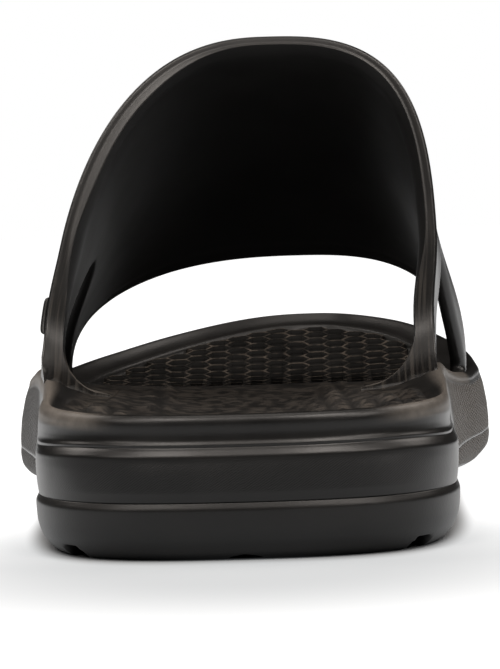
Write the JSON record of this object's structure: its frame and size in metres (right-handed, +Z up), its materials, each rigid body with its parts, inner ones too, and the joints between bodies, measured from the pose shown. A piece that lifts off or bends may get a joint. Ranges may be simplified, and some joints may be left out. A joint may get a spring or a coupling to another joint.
{
  "type": "pool slide sandal",
  "caption": "Left moulded pool slide with a broad one-piece vamp, side windows, a stepped heel, a cupped textured footbed and a grooved sole.",
  "frame": {"origin": "floor under the middle of the shoe's bounding box", "axes": "+Z up, +Y towards the toe, +X towards the medial side of this left shoe"},
  "size_m": [0.1104, 0.286, 0.1012],
  "materials": {
    "upper_midsole": "black moulded foam, satin",
    "insole": "black moulded foam, matt, honeycomb relief",
    "outsole": "black moulded foam, satin",
    "side_plate": "black, bare"
  },
  "bodies": {
    "root": {"upper_midsole": "upper_midsole", "insole": "insole", "outsole": "outsole", "side_plate": "side_plate"}
  },
  "joints": []
}
